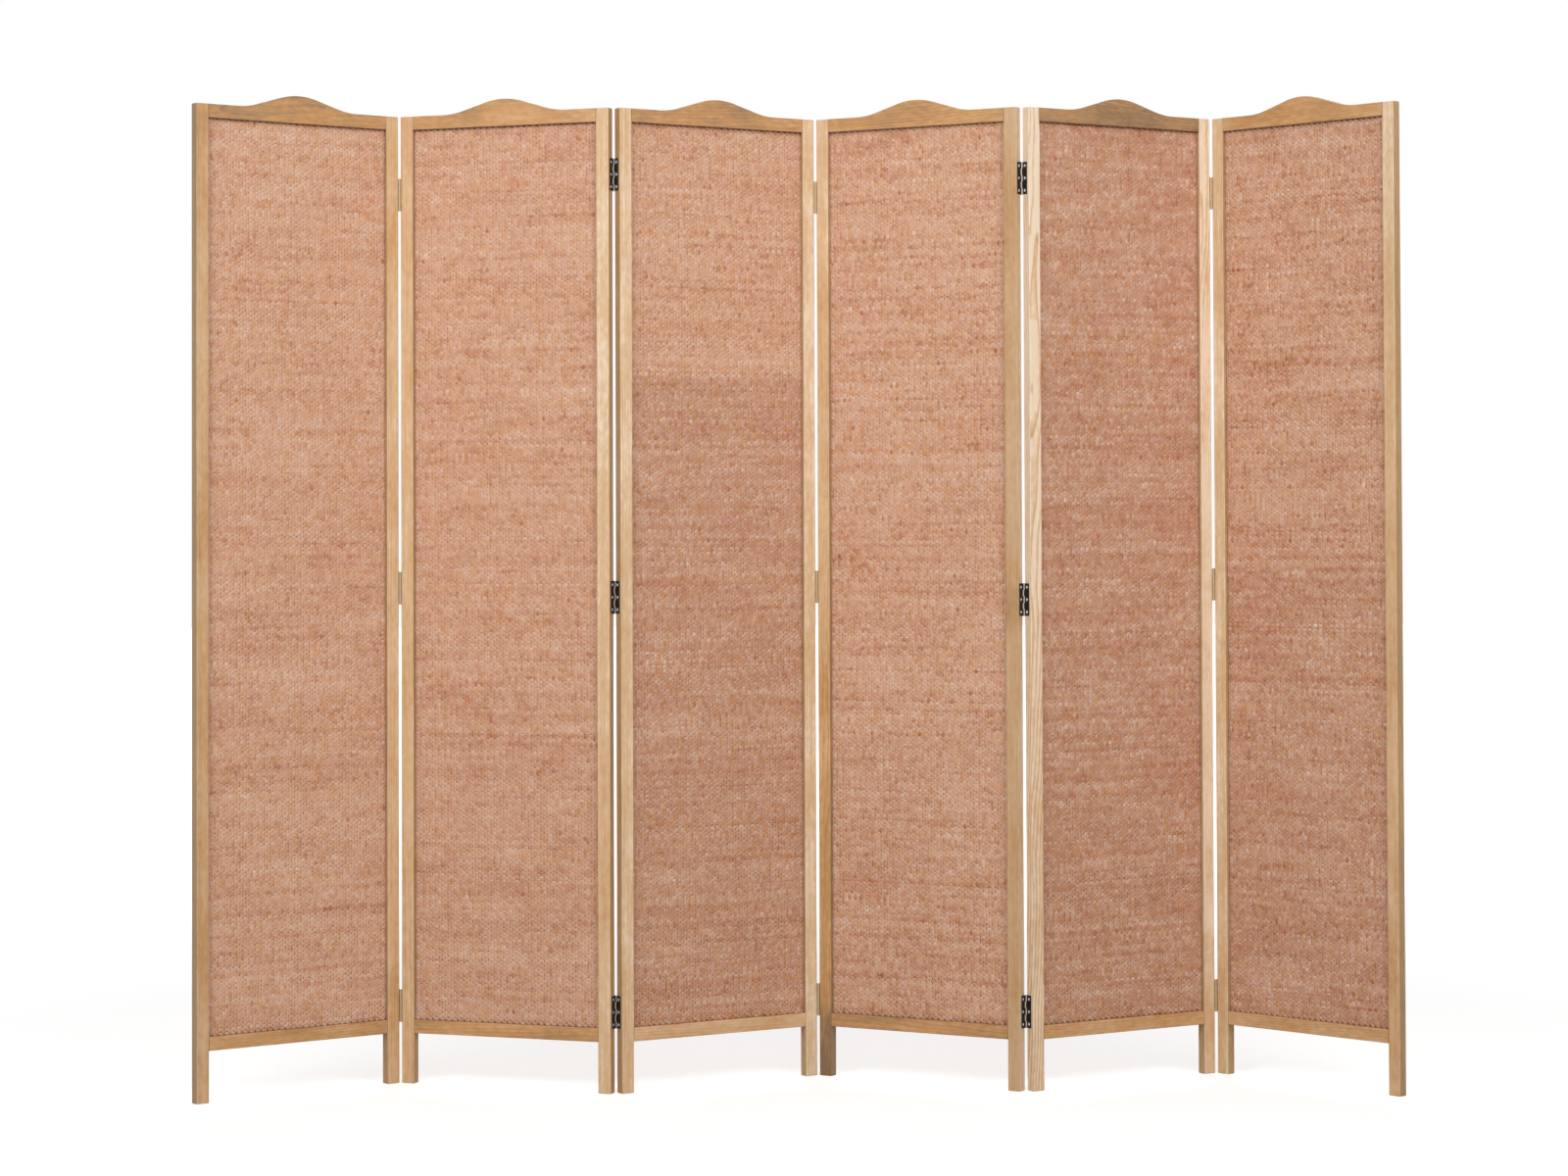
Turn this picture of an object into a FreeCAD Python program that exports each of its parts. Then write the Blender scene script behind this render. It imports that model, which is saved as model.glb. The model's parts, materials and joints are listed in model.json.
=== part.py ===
import FreeCAD, Part
import math
import os
from FreeCAD import Placement, Rotation, Vector

# Folding screen of six tall wooden panels, standing in a zigzag on the feet of its stiles.
# Each panel is two stiles, a top rail with a raised crest, a bottom rail and a woven insert
# that sits in grooves. Dowels hold the frame. Three butt hinges join each pair of panels,
# with their knuckles on the front and on the back by turns, so the screen folds like an accordion.
# Lengths are millimetres and angles degrees. X runs along the screen, Y to its back, Z up.

# Panel frame
panel_width = 400.0
stile_height = 1700.0
stile_width = 24.0
stile_thickness = 18.0
rail_height = 24.0
rail_thickness = 17.0
leg_height = 88.0
edge_round = 1.5

# Crest of the top rail: a round top, straight slopes and round feet
crest_rise = 24.0
crest_half_width = 117.5
crest_top_radius = 120.0
crest_foot_radius = 135.0

# Woven insert and the grooves that hold it
insert_thickness = 5.0
groove_depth = 6.0
insert_clearance = 0.3

# Dowels in the rail ends
dowel_diameter = 5.0
dowel_in_stile = 14.0
dowel_in_rail = 16.0
dowel_chamfer = 0.6
glue_gap = 0.05
dowel_end_gap = 0.5
dowel_height_shares = (0.25, 0.75)

# How far each panel is turned from the X axis as the screen stands
panel_turns = (37.1, -20.8, 32.5, -30.7, 32.5, -45.9)
fully_folded_angle = 180.0

# Butt hinges, their leaves let into the stiles
panel_gap = 2.0
pin_standoff = 1.9
leaf_height = 56.0
leaf_width = 12.6
leaf_thickness = 1.2
leaf_setback = 0.7
leaf_corner_round = 1.2
leaf_seat_depth = 0.65
leaf_seat_clearance = 0.1
knuckle_diameter = 4.6
knuckle_count = 5
knuckle_gap = 0.3
pin_diameter = 2.5
pin_clearance = 0.03
pin_cap_diameter = 4.2
pin_cap_height = 1.2

# Heights of the hinges, one number for each pair of panels from the left
low_hinge_heights = (136.0, 139.0, 135.0, 136.0, 138.0)
middle_hinge_shares = (0.511, 0.502, 0.510, 0.498, 0.511)
top_hinge_drops = (138.0, 115.0, 139.0, 123.0, 133.0)

# Wood screws of the hinges
screw_length = 15.0
screw_head_diameter = 4.8
screw_shank_diameter = 2.6
screw_point_length = 2.5
screw_dome_height = 0.3
screw_clearance = 0.05
screw_spacing = 21.5
screw_end_gap = 0.5
recess_length = 2.9
recess_width = 0.8
recess_depth = 0.7

# Overrun of every cut past the face that it opens
cut_overrun = 2.0

# Places worked out from the sizes above
bottom_rail_top = leg_height + rail_height
top_rail_underside = stile_height - rail_height
rail_front = (stile_thickness - rail_thickness) / 2
rail_length = panel_width - 2 * stile_width
groove_width = insert_thickness + 2 * insert_clearance
middle_depth = stile_thickness / 2
leaf_rise = leaf_thickness - leaf_seat_depth
knuckle_pitch = leaf_height / knuckle_count
solid_rail_height = rail_height - groove_depth
panel_count = len(panel_turns)


def block(low, high):
    """A box between two opposite corners, given in any order."""
    xs, ys, zs = (sorted(pair) for pair in zip(low, high))
    corner = Vector(xs[0], ys[0], zs[0])
    return Part.makeBox(xs[1] - xs[0], ys[1] - ys[0], zs[1] - zs[0], corner)


def rod(radius, start, end):
    """A round rod from one point to another."""
    along = end.sub(start)
    return Part.makeCylinder(radius, along.Length, start, along)


def dowel_heights():
    """Heights of the dowels in the bottom rail and in the top rail."""
    solid_starts = (leg_height, top_rail_underside + groove_depth)
    return [start + share * solid_rail_height for start in solid_starts for share in dowel_height_shares]


def dowel_holes(edge, into_stile):
    """Holes for the dowels that cross one stile's inner face, where into_stile points along X."""
    stile_depth = dowel_in_stile + dowel_end_gap
    rail_depth = dowel_in_rail + dowel_end_gap
    radius = dowel_diameter / 2 + glue_gap
    holes = []
    for height in dowel_heights():
        start = Vector(edge + into_stile * stile_depth, middle_depth, height)
        end = Vector(edge - into_stile * rail_depth, middle_depth, height)
        holes.append(rod(radius, start, end))
    return holes


def dowels(edge, into_stile):
    """The dowels that cross one stile's inner face, with chamfered ends."""
    pieces = []
    for height in dowel_heights():
        start = Vector(edge + into_stile * dowel_in_stile, middle_depth, height)
        end = Vector(edge - into_stile * dowel_in_rail, middle_depth, height)
        dowel = rod(dowel_diameter / 2, start, end)
        rims = [rim for rim in dowel.Edges if len(rim.Vertexes) == 1]
        pieces.append(dowel.makeChamfer(dowel_chamfer, rims))
    return pieces


def leaf_seats(edge, outwards, junction):
    """Shallow recesses in a stile's outer edge that take the leaves, open to the face with the knuckles."""
    side = junction_side(junction)
    face = face_depth(side)
    half_height = leaf_height / 2 + leaf_seat_clearance
    floor = edge - outwards * leaf_seat_depth
    far_side = face - side * (leaf_width + leaf_seat_clearance)
    open_edge = edge + outwards * cut_overrun
    open_face = face + side * cut_overrun
    seats = []
    for middle in hinge_heights(junction):
        low = (floor, far_side, middle - half_height)
        high = (open_edge, open_face, middle + half_height)
        seats.append(block(low, high))
    return seats


def stile(outer_edge, into_panel, junctions):
    """One stile, from its outer edge inwards. junctions lists the pairs of panels hinged at that edge."""
    inner_edge = outer_edge + into_panel * stile_width
    body = block((outer_edge, 0, 0), (inner_edge, stile_thickness, stile_height))
    body = body.makeFillet(edge_round, body.Edges)
    groove_floor = inner_edge - into_panel * groove_depth
    groove_mouth = inner_edge + into_panel * cut_overrun
    low = (groove_floor, middle_depth - groove_width / 2, bottom_rail_top - groove_depth)
    high = (groove_mouth, middle_depth + groove_width / 2, top_rail_underside + groove_depth)
    cuts = [block(low, high)] + dowel_holes(inner_edge, -into_panel)
    inwards = Vector(into_panel, 0, 0)
    for junction in junctions:
        cuts += leaf_seats(outer_edge, -into_panel, junction)
        for seat in screw_seats(outer_edge, -into_panel, junction):
            start = seat.sub(inwards * cut_overrun)
            end = seat.add(inwards * (screw_length + screw_end_gap))
            cuts.append(rod(screw_shank_diameter / 2 + screw_clearance, start, end))
    return body.cut(cuts)


def long_edges(body):
    """Edges along the front and back of a rail, without the upright ones at its ends."""
    chosen = []
    for edge in body.Edges:
        box = edge.BoundBox
        if box.YLength < edge_round and box.XLength > edge_round:
            chosen.append(edge)
    return chosen


def crest_outline():
    """Closed outline of the top rail in the plane of its front face."""
    # The slope is the line that touches the round top and the round foot.
    both_radii = crest_top_radius + crest_foot_radius
    centre_drop = both_radii - crest_rise
    reach = math.hypot(crest_half_width, centre_drop)
    slope = math.asin(both_radii / reach) - math.atan2(centre_drop, crest_half_width)
    middle = panel_width / 2

    def point(along, above):
        return Vector(middle + along, rail_front, stile_height + above)

    top_x = crest_top_radius * math.sin(slope)
    top_z = crest_rise - crest_top_radius * (1 - math.cos(slope))
    foot_x = crest_half_width - crest_foot_radius * math.sin(slope)
    foot_z = crest_foot_radius * (1 - math.cos(slope))
    bend_x = crest_half_width - crest_foot_radius * math.sin(slope / 2)
    bend_z = crest_foot_radius * (1 - math.cos(slope / 2))
    end_x = rail_length / 2
    edges = [
        Part.LineSegment(point(-end_x, -rail_height), point(end_x, -rail_height)),
        Part.LineSegment(point(end_x, -rail_height), point(end_x, 0)),
        Part.LineSegment(point(end_x, 0), point(crest_half_width, 0)),
        Part.Arc(point(crest_half_width, 0), point(bend_x, bend_z), point(foot_x, foot_z)),
        Part.LineSegment(point(foot_x, foot_z), point(top_x, top_z)),
        Part.Arc(point(top_x, top_z), point(0, crest_rise), point(-top_x, top_z)),
        Part.LineSegment(point(-top_x, top_z), point(-foot_x, foot_z)),
        Part.Arc(point(-foot_x, foot_z), point(-bend_x, bend_z), point(-crest_half_width, 0)),
        Part.LineSegment(point(-crest_half_width, 0), point(-end_x, 0)),
        Part.LineSegment(point(-end_x, 0), point(-end_x, -rail_height)),
    ]
    return Part.Wire([edge.toShape() for edge in edges])


def rail_cuts(low, high):
    """The groove between two heights along a rail, and the dowel holes in its two ends."""
    start = stile_width - cut_overrun
    end = panel_width - stile_width + cut_overrun
    groove = block(
        (start, middle_depth - groove_width / 2, low),
        (end, middle_depth + groove_width / 2, high),
    )
    left_holes = dowel_holes(stile_width, -1)
    right_holes = dowel_holes(panel_width - stile_width, 1)
    return [groove] + left_holes + right_holes


def top_rail():
    """Top rail with its crest, rounded long edges and the groove in its underside."""
    body = Part.Face(crest_outline()).extrude(Vector(0, rail_thickness, 0))
    body = body.makeFillet(edge_round, long_edges(body))
    return body.cut(rail_cuts(top_rail_underside - cut_overrun, top_rail_underside + groove_depth))


def bottom_rail():
    """Plain bottom rail with the groove in its top."""
    low = (stile_width, rail_front, leg_height)
    high = (panel_width - stile_width, rail_front + rail_thickness, bottom_rail_top)
    body = block(low, high)
    body = body.makeFillet(edge_round, long_edges(body))
    return body.cut(rail_cuts(bottom_rail_top - groove_depth, bottom_rail_top + cut_overrun))


def woven_insert():
    """The space of the woven insert, whose four edges stand in the grooves."""
    hidden = groove_depth - insert_clearance
    low = (stile_width - hidden, middle_depth - insert_thickness / 2, bottom_rail_top - hidden)
    high = (
        panel_width - stile_width + hidden,
        middle_depth + insert_thickness / 2,
        top_rail_underside + hidden,
    )
    return block(low, high)


def hinge_heights(junction):
    """Heights of the middles of the three hinges between a panel and the next."""
    place = junction - 1
    return (
        low_hinge_heights[place],
        middle_hinge_shares[place] * stile_height,
        stile_height - top_hinge_drops[place],
    )


def junction_side(junction):
    """Side of the knuckles between a panel and the next: -1 is the front, after panels 1, 3 and 5."""
    return -1 if junction % 2 else 1


def face_depth(side):
    """Depth of the panel face that carries the knuckles."""
    return 0 if side < 0 else stile_thickness


def pin_place(edge, outwards, junction):
    """Where the hinge pin stands in plan, seen from one panel's outer edge."""
    side = junction_side(junction)
    return edge + outwards * panel_gap / 2, face_depth(side) + side * pin_standoff


def screw_seats(edge, outwards, junction):
    """Points on the outer face of the leaves where the screws go in."""
    side = junction_side(junction)
    depth = face_depth(side) - side * (leaf_setback + leaf_width) / 2
    seats = []
    for middle in hinge_heights(junction):
        for row in (-1, 0, 1):
            seats.append(Vector(edge + outwards * leaf_rise, depth, middle + row * screw_spacing))
    return seats


def turned_profile(points, dome_height=0):
    """A solid turned about the Z axis from (radius, height) points; the last is the rim of a dome."""
    corners = [Vector(radius, 0, height) for radius, height in points]
    edges = [Part.LineSegment(a, b).toShape() for a, b in zip(corners, corners[1:])]
    rim = corners[-1]
    crown = Vector(0, 0, rim.z + dome_height)
    if dome_height:
        ball_radius = (rim.x**2 + dome_height**2) / (2 * dome_height)
        half_angle = math.asin(rim.x / ball_radius) / 2
        waist_height = crown.z - ball_radius + ball_radius * math.cos(half_angle)
        waist = Vector(ball_radius * math.sin(half_angle), 0, waist_height)
        edges.append(Part.Arc(rim, waist, crown).toShape())
    else:
        edges.append(Part.LineSegment(rim, crown).toShape())
    edges.append(Part.LineSegment(crown, corners[0]).toShape())
    full_turn = 360
    return Part.Face(Part.Wire(edges)).revolve(Vector(0, 0, 0), Vector(0, 0, 1), full_turn)


def screw():
    """A countersunk wood screw along Z, its head's rim at height 0 and its point below."""
    head = screw_head_diameter / 2
    shank = screw_shank_diameter / 2
    points = [
        (0, -screw_length),
        (shank, -screw_length + screw_point_length),
        (shank, -(head - shank)),
        (head, 0),
    ]
    body = turned_profile(points, screw_dome_height)
    top = screw_dome_height + cut_overrun
    low = screw_dome_height - recess_depth
    long_half = recess_length / 2
    short_half = recess_width / 2
    slots = [
        block((-long_half, -short_half, low), (long_half, short_half, top)),
        block((-short_half, -long_half, low), (short_half, long_half, top)),
    ]
    return body.cut(slots)


def screw_hole():
    """What a countersunk hole takes out of a leaf, in the frame of the screw."""
    head = screw_head_diameter / 2 + screw_clearance
    shank = screw_shank_diameter / 2 + screw_clearance
    points = [
        (0, -leaf_thickness - cut_overrun),
        (shank, -leaf_thickness - cut_overrun),
        (shank, -(head - shank)),
        (head, 0),
        (head, cut_overrun),
    ]
    return turned_profile(points)


def facing(shape, seat, outwards):
    """A shape made along Z, turned so that its top points outwards along X, at its seat."""
    turn = Rotation(Vector(0, 0, 1), Vector(outwards, 0, 0))
    return shape.transformed(Placement(seat, turn).toMatrix(), True)


def knuckle_rows(is_outer):
    """Which knuckles belong to a leaf: the outer leaf has the first, third and fifth."""
    first = 0 if is_outer else 1
    return range(first, knuckle_count, 2)


def hinge_leaf(edge, outwards, junction, middle, is_outer):
    """One leaf with its knuckles, for the hinge whose middle is at the height given."""
    side = junction_side(junction)
    bottom = middle - leaf_height / 2
    face = face_depth(side)
    pin_x, pin_y = pin_place(edge, outwards, junction)
    inner_x = edge - outwards * leaf_seat_depth
    outer_x = edge + outwards * leaf_rise
    free_depth = face - side * leaf_width
    notch_depth = face - side * leaf_setback
    plate = block((inner_x, free_depth, bottom), (outer_x, notch_depth, bottom + leaf_height))
    corners = []
    for line in plate.Edges:
        box = line.BoundBox
        across = box.XLength > leaf_thickness / 2
        if across and abs(box.Center.y - free_depth) < leaf_setback:
            corners.append(line)
    leaf = plate.makeFillet(leaf_corner_round, corners)
    for row in knuckle_rows(is_outer):
        low = bottom + row * knuckle_pitch + (knuckle_gap / 2 if row > 0 else 0)
        high = bottom + (row + 1) * knuckle_pitch - (knuckle_gap / 2 if row < knuckle_count - 1 else 0)
        web = block((inner_x, notch_depth, low), (outer_x, pin_y, high))
        barrel = rod(knuckle_diameter / 2, Vector(pin_x, pin_y, low), Vector(pin_x, pin_y, high))
        leaf = leaf.fuse([web, barrel])
    leaf = leaf.removeSplitter()
    bore_start = Vector(pin_x, pin_y, bottom - cut_overrun)
    bore_end = Vector(pin_x, pin_y, bottom + leaf_height + cut_overrun)
    cuts = [rod(pin_diameter / 2 + pin_clearance, bore_start, bore_end)]
    for seat in screw_seats(edge, outwards, junction):
        if abs(seat.z - middle) < leaf_height:
            cuts.append(facing(screw_hole(), seat, outwards))
    return leaf.cut(cuts)


def hinge_leaves(edge, outwards, junction, is_outer):
    """The leaves of the three hinges on one edge of one panel."""
    return [hinge_leaf(edge, outwards, junction, middle, is_outer) for middle in hinge_heights(junction)]


def hinge_pins(edge, outwards, junction):
    """The pins of three hinges, each with a domed cap at both ends."""
    pin_x, pin_y = pin_place(edge, outwards, junction)
    dome = pin_cap_height / 2
    rim = pin_cap_height - dome
    cap = turned_profile([(0, 0), (pin_cap_diameter / 2, 0), (pin_cap_diameter / 2, rim)], dome)
    pins = []
    for middle in hinge_heights(junction):
        low = Vector(pin_x, pin_y, middle - leaf_height / 2)
        high = Vector(pin_x, pin_y, middle + leaf_height / 2)
        pin = rod(pin_diameter / 2, low, high)
        upside_down = Rotation(Vector(0, 0, 1), Vector(0, 0, -1))
        top_cap = cap.transformed(Placement(high, Rotation()).toMatrix(), True)
        bottom_cap = cap.transformed(Placement(low, upside_down).toMatrix(), True)
        pins.append(pin.fuse([top_cap, bottom_cap]))
    return pins


def hinge_screws(edge, outwards, junction):
    """All screws of the hinges on one edge of one panel."""
    one_screw = screw()
    return [facing(one_screw, seat, outwards) for seat in screw_seats(edge, outwards, junction)]


def panel_pieces(number):
    """All nodes of one panel in the panel's own frame, its front left corner at the origin."""
    name = f"panel_{number}_"
    left_junctions = [number - 1] if number > 1 else []
    right_junctions = [number] if number < panel_count else []
    screws = []
    nodes = {}
    for junction in left_junctions:
        nodes[f"hinge_{junction}_{number}_right_leaves"] = hinge_leaves(0, -1, junction, False)
        screws += hinge_screws(0, -1, junction)
    for junction in right_junctions:
        nodes[f"hinge_{junction}_{number + 1}_left_leaves"] = hinge_leaves(panel_width, 1, junction, True)
        nodes[f"hinge_{junction}_{number + 1}_pins"] = hinge_pins(panel_width, 1, junction)
        screws += hinge_screws(panel_width, 1, junction)
    right_joint = panel_width - stile_width
    nodes[name + "left_stile"] = [stile(0, 1, left_junctions)]
    nodes[name + "right_stile"] = [stile(panel_width, -1, right_junctions)]
    nodes[name + "top_rail"] = [top_rail()]
    nodes[name + "bottom_rail"] = [bottom_rail()]
    nodes[name + "woven_insert"] = [woven_insert()]
    nodes[name + "dowels"] = dowels(stile_width, -1) + dowels(right_joint, 1)
    nodes[name + "hinge_screws"] = screws
    return nodes


def panel_places():
    """Where each panel stands, and the hinge lines between them, in a frame at panel 1's corner."""
    places = []
    lines = []
    origin = Vector(0, 0, 0)
    for number, turn in enumerate(panel_turns, start=1):
        rotation = Rotation(Vector(0, 0, 1), turn)
        if lines:
            across, depth = pin_place(0, -1, number - 1)
            origin = lines[-1].sub(rotation.multVec(Vector(across, depth, 0)))
        place = Placement(origin, rotation)
        places.append(place)
        if number < panel_count:
            across, depth = pin_place(panel_width, 1, number)
            lines.append(place.multVec(Vector(across, depth, 0)))
    return places, lines


def build():
    """Make every node, stand the screen on the middle of its own outline and write the files."""
    places, lines = panel_places()
    nodes = {}
    for number, place in enumerate(places, start=1):
        for name, solids in panel_pieces(number).items():
            nodes[name] = [solid.transformed(place.toMatrix(), True) for solid in solids]
    box = Part.Compound([solid for solids in nodes.values() for solid in solids]).BoundBox
    shift = Vector(-box.Center.x, -box.Center.y, -box.ZMin)
    os.makedirs("parts", exist_ok=True)
    for name, solids in nodes.items():
        for solid in solids:
            solid.translate(shift)
            if not solid.isValid() or len(solid.Solids) != 1:
                raise ValueError(f"{name} is not one valid solid")
        shape = solids[0] if len(solids) == 1 else Part.Compound(solids)
        shape.exportStep(f"parts/{name}.step")
    print("nodes", len(nodes), "solids", sum(len(solids) for solids in nodes.values()))
    print("size", round(box.XLength, 3), round(box.YLength, 3), stile_height + crest_rise)
    for number, place in enumerate(places, start=1):
        corner = place.Base.add(shift)
        turn = panel_turns[number - 1]
        print("panel", number, "corner", round(corner.x, 4), round(corner.y, 4), "turn", turn)
    for number, line in enumerate(lines, start=1):
        pin = line.add(shift)
        opening = abs(panel_turns[number - 1] - panel_turns[number])
        limits = round(-opening, 3), round(fully_folded_angle - opening, 3)
        print("hinge", number, number + 1, "pin", round(pin.x, 4), round(pin.y, 4), "from rest", limits)


build()
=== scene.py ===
import json
import math
import random

import bpy
from bpy.props import FloatProperty, FloatVectorProperty, IntProperty, PointerProperty
from mathutils import Matrix, Vector


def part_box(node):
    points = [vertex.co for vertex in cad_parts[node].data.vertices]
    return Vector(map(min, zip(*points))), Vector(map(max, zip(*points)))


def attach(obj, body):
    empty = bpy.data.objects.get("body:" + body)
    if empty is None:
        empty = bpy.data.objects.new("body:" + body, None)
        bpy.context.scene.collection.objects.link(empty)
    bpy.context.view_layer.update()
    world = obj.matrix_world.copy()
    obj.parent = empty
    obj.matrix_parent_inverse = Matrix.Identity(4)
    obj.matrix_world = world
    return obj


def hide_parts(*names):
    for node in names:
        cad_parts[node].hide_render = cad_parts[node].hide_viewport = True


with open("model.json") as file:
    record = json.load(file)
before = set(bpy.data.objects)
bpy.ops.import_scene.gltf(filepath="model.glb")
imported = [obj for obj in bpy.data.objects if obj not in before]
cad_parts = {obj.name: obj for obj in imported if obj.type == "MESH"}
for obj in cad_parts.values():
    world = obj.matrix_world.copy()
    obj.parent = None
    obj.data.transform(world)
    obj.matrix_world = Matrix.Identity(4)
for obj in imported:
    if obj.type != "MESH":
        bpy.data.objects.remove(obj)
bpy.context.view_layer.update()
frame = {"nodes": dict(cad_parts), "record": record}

bl_info = {
    "name": "Folding screen with woven inserts",
    "version": (1, 0, 0),
    "blender": (4, 5, 0),
    "location": "3D View > Sidebar > Folding screen",
    "description": "Weaves the inserts, finishes the wood and the hinges, and lights a folding screen",
    "category": "Object",
}

PANEL_COUNT = 6

# Mesh attributes that the weaving leaves for the fibre material, and those that only it needs
ROW = "weave_row"
ALONG = "weave_along"
ACROSS = "weave_across"
SUNKEN = "weave_sunken"
CROSSING = "crossing"
SECTION_DEPTH = "section_depth"
SECTION_HEIGHT = "section_height"
IS_CORD = "is_cord"

# Inputs of the weaving tree by their kind. Those with the name of a weave size take it.
WEAVING_INPUTS = {
    "NodeSocketInt": ("segments", "rows", "seed"),
    "NodeSocketFloat": (
        "upright_pitch", "row_pitch", "first_upright", "first_row", "wave_depth", "strand_thickness",
        "strand_height", "upright_thickness", "upright_length", "wander", "unevenness", "turn",
    ),
    "NodeSocketVector": ("corner",),
    "NodeSocketMaterial": ("fibre", "cord"),
}

# Wood colours in the order of the tone scale, which starts at 0 with sapwood
WOOD_SCALE = ("sapwood", "straw", "honey", "amber", "umber", "chestnut")

# In metres: from the insert's edge to where rails and stiles meet, and the middles of the pieces across the
# grain, from which the pith is placed
JOINT_PLACE = 0.0057
STILE_MIDDLE = 0.012
RAIL_MIDDLES = {"top": 1.69, "bottom": 0.10}

# Each wooden piece: tone at its foot or left end, tone at its top or right end,
# strength of its growth rings, and how flat-sawn it is from 0 to 1
TIMBER = {
    "panel_1_left_stile": (2.20, 2.35, 0.45, 0.2),
    "panel_1_right_stile": (1.80, 1.75, 0.60, 0.1),
    "panel_2_left_stile": (1.60, 1.90, 0.45, 0.3),
    "panel_2_right_stile": (1.50, 1.00, 0.45, 0.1),
    "panel_3_left_stile": (1.10, 0.85, 0.45, 0.2),
    "panel_3_right_stile": (0.75, 0.95, 0.45, 0.1),
    "panel_4_left_stile": (3.30, 1.10, 0.60, 0.5),
    "panel_4_right_stile": (2.00, 2.30, 0.50, 0.3),
    "panel_5_left_stile": (1.30, 0.00, 1.75, 1.0),
    "panel_5_right_stile": (0.10, 0.35, 1.20, 0.8),
    "panel_6_left_stile": (0.70, 1.30, 0.45, 0.2),
    "panel_6_right_stile": (2.20, 1.10, 0.60, 0.4),
    "panel_1_top_rail": (3.75, 3.55, 0.50, 0.6),
    "panel_2_top_rail": (3.20, 2.90, 0.60, 0.3),
    "panel_3_top_rail": (3.55, 3.30, 0.50, 0.5),
    "panel_4_top_rail": (3.00, 2.90, 0.50, 0.4),
    "panel_5_top_rail": (4.10, 4.10, 0.50, 0.5),
    "panel_6_top_rail": (3.00, 2.80, 0.55, 0.4),
    "panel_1_bottom_rail": (3.00, 2.90, 0.50, 0.4),
    "panel_2_bottom_rail": (3.20, 3.20, 0.50, 0.5),
    "panel_3_bottom_rail": (2.00, 2.05, 0.50, 0.3),
    "panel_4_bottom_rail": (3.20, 3.30, 0.60, 0.5),
    "panel_5_bottom_rail": (2.80, 2.65, 0.50, 0.3),
    "panel_6_bottom_rail": (2.30, 2.30, 0.60, 0.4),
}

# Darker lengths of a stile: height where it starts, height where it ends, and tone added
DARK_LENGTHS = {
    "panel_1_right_stile": (-0.05, 0.20, 0.35),
    "panel_4_left_stile": (-0.05, 0.115, 1.5),
    "panel_4_right_stile": (0.800, 0.865, 0.9),
    "panel_5_right_stile": (-0.05, 0.25, 1.1),
    "panel_6_left_stile": (-0.05, 0.20, 0.8),
    "panel_6_right_stile": (-0.05, 0.30, 0.3),
}

# Height over which a dark length starts and ends, to each side
DARK_SOFTNESS = 0.02

# Painted shade: tone added to the narrow sides of a stile, darkening them as if in shade: this much, but for
# the stiles named, whose sides are painted lighter as if lit
PAINTED_SIDE_SHADE = 1.6
PAINTED_LIGHTER_SIDES = {"panel_4_right_stile": -1.3, "panel_5_left_stile": -0.3}

# Share of olive on the whole of a stile, and on its narrow sides as painted shade where these are darker
# than its front
DULL_FRONTS = {"panel_1_left_stile": 0.15, "panel_4_right_stile": 0.30}
PAINTED_SIDE_OLIVE = 0.5

# Growth rings, each as the least and the most: distance of the pith, lean to the length, width of a ring,
# and drift of the noise
PITH_DISTANCES = (0.05, 0.10)
RING_LEANS = (0.004, 0.016)
RING_WIDTHS = (0.0032, 0.0052)
DRIFTS = (0, 50)

# Waves of the growth rings: to the metre across the grain and along it, and metres that they reach across
# and into the depth
WAVES_ACROSS = 6
WAVES_ALONG = 2.6
WAVE_REACH = 0.014
WAVE_DEPTH = 0.010

# How flat-sawn wood differs: pith nearer and behind, rings that lean and wave more, and fainter stripes
FLAT_PITH_SHARE = 0.6
FLAT_PITH_ANGLE = math.radians(88)
FLAT_LEAN = 6
FLAT_WAVE = 0.04
FLAT_STRIPE_SHARE = 0.6

# Tone that the rings add, their usual share of late wood, and the share of the stripes that a rail shows
RING_TONE = 1.6
USUAL_LATE_WOOD = 0.25
RAIL_STRIPE_SHARE = 0.6

# Ramps in the wood, from where each starts to where it is full: end of a ring, pores, faces that look aside
# and get the painted side shade, faces that look up, and metres past the line where a rail meets a stile
RING_END = (0.93, 1.0)
PORE_RAMP = (0.13, 0.24)
PAINTED_SIDE_RAMP = (0.6, 0.95)
UPWARD_RAMP = (0.7, 0.95)
JOINT_RAMP = (0.0003, 0.0012)

# How much darker end grain and the joint lines are
END_GRAIN_SHADE = 0.16
JOINT_SHADE = 0.4

# Noise layers of the wood: features to the metre across the grain and along it, and detail
WOOD_LAYERS = {
    "fibre": (900, 14, 2.0),
    "pores": (1500, 70, 1.0),
    "streaks": (330, 3.2, 2.0),
    "bands": (120, 1.3, 2.0),
    "figure": (130, 60, 2.0),
    "cloud": (20, 7, 3.0),
}

# What the layers of the wood add to its tone, its level, its roughness and its relief
WOOD_TONES = {"cloud": 3.4, "figure": 2.0}
WOOD_STRIPES = {"bands": 1.7, "streaks": 2.1}
WOOD_LEVELS = {"fibre": 0.3, "pores": -0.13}
WOOD_ROUGHNESS = {"fibre": 0.12, "pores": 0.1, "late_wood": -0.06}
WOOD_RELIEF = {"fibre": 0.5, "pores": -0.5, "late_wood": 0.35}

# Woven inserts: share of the rust colour below and above a height, that height, and strength of the tints
FABRIC_TONES = {
    1: (0.05, 0.00, 0.900, 0.86),
    2: (0.32, 0.14, 0.700, 0.84),
    3: (0.90, 0.00, 1.238, 0.94),
    4: (0.22, 0.02, 0.600, 1.00),
    5: (1.00, 0.94, 1.219, 0.98),
    6: (0.58, 0.12, 0.900, 1.10),
}

# Noise layers of the fibre: features to the metre along a strand and to the row, own drift, and detail
FIBRE_LAYERS = {
    "cloud": (6, 0.065, 0, 3.0),
    "patch": (34, 0.16, 3, 2.0),
    "streak": (8, 0.45, 5, 2.0),
    "mottle": (80, 0.80, 9, 1.0),
    "column": (180, 0.12, 15, 1.0),
}

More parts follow.
